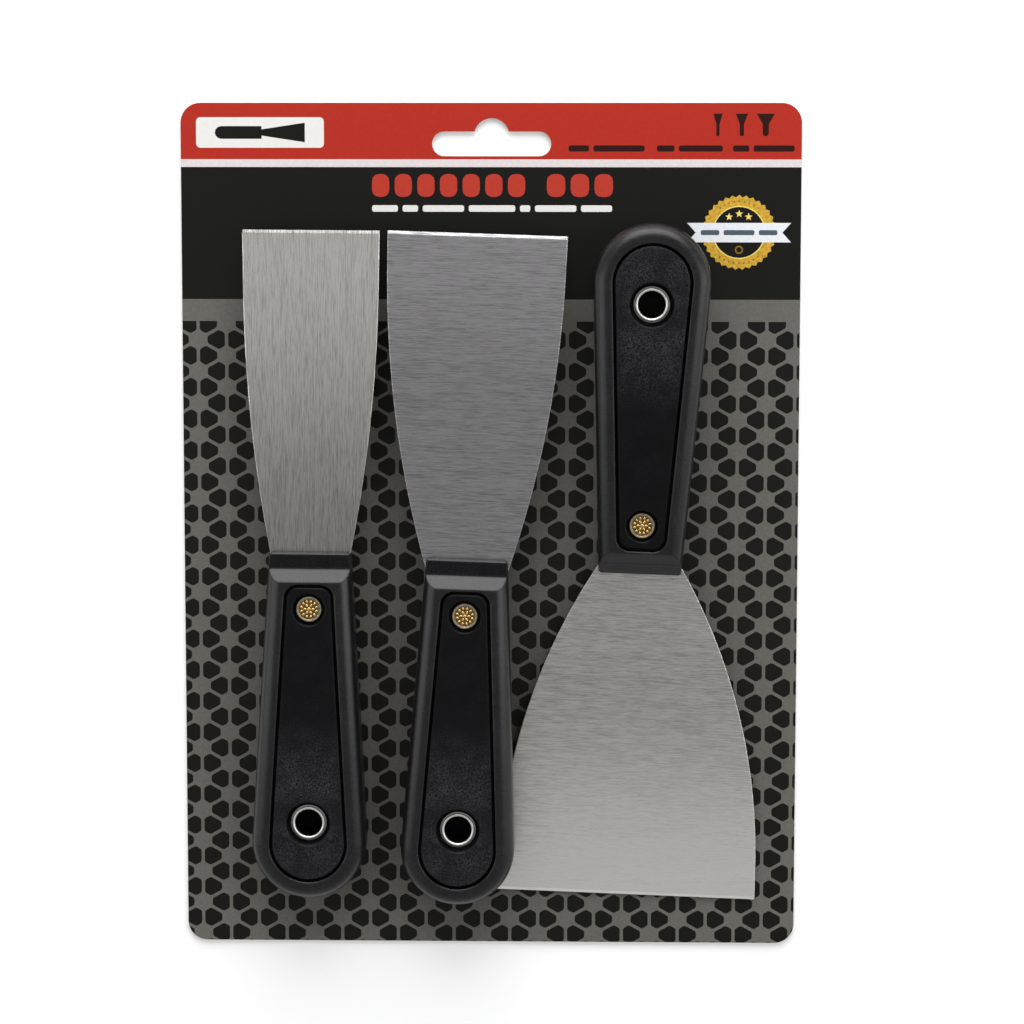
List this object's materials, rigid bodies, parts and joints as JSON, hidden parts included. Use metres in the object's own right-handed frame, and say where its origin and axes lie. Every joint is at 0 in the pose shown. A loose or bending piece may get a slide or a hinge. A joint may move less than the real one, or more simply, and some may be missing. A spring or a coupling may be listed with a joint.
{
  "type": "filling knife set",
  "caption": "Flat steel filling knives in graded widths with riveted black plastic handles and metal hanging eyelets, held on a printed hanging card.",
  "frame": {"origin": "centre of the card's back face, with the card lying flat", "axes": "+Z out of the card towards the tools, +Y towards the hang slot, +X to the right seen from the printed side"},
  "size_m": [0.172, 0.2364, 0.0184],
  "materials": {
    "printed_card": "satin varnished print",
    "foam_pad": "matt black foam",
    "blade_steel": "brushed",
    "handle_plastic": "fine moulded texture",
    "panel_plastic": "spark-eroded grain",
    "rivet_nickel": "nickel plated",
    "eyelet_nickel": "nickel plated"
  },
  "bodies": {
    "card": {"backing_card": "printed_card", "adhesive_pads_small": "foam_pad", "adhesive_pads_medium": "foam_pad", "adhesive_pads_large": "foam_pad"},
    "knife_small": {"blade_small": "blade_steel", "front_shell_small": "handle_plastic", "back_shell_small": "handle_plastic", "front_panel_small": "panel_plastic", "back_panel_small": "panel_plastic", "rivet_cap_small": "rivet_nickel", "rivet_post_small": "rivet_nickel", "eyelet_small": "eyelet_nickel", "eyelet_washer_small": "eyelet_nickel"},
    "knife_medium": {"blade_medium": "blade_steel", "front_shell_medium": "handle_plastic", "back_shell_medium": "handle_plastic", "front_panel_medium": "panel_plastic", "back_panel_medium": "panel_plastic", "rivet_cap_medium": "rivet_nickel", "rivet_post_medium": "rivet_nickel", "eyelet_medium": "eyelet_nickel", "eyelet_washer_medium": "eyelet_nickel"},
    "knife_large": {"blade_large": "blade_steel", "front_shell_large": "handle_plastic", "back_shell_large": "handle_plastic", "front_panel_large": "panel_plastic", "back_panel_large": "panel_plastic", "rivet_cap_large": "rivet_nickel", "rivet_post_large": "rivet_nickel", "eyelet_large": "eyelet_nickel", "eyelet_washer_large": "eyelet_nickel"}
  },
  "joints": [
    {"name": "lift_small", "type": "slide", "parent": "card", "child": "knife_small", "axis": [0, 0, 1], "range_m": [0, 0.06]},
    {"name": "lift_medium", "type": "slide", "parent": "card", "child": "knife_medium", "axis": [0, 0, 1], "range_m": [0, 0.06]},
    {"name": "draw_large", "type": "slide", "parent": "card", "child": "knife_large", "axis": [0.9781, 0, 0.2079], "range_m": [0, 0.12]}
  ]
}
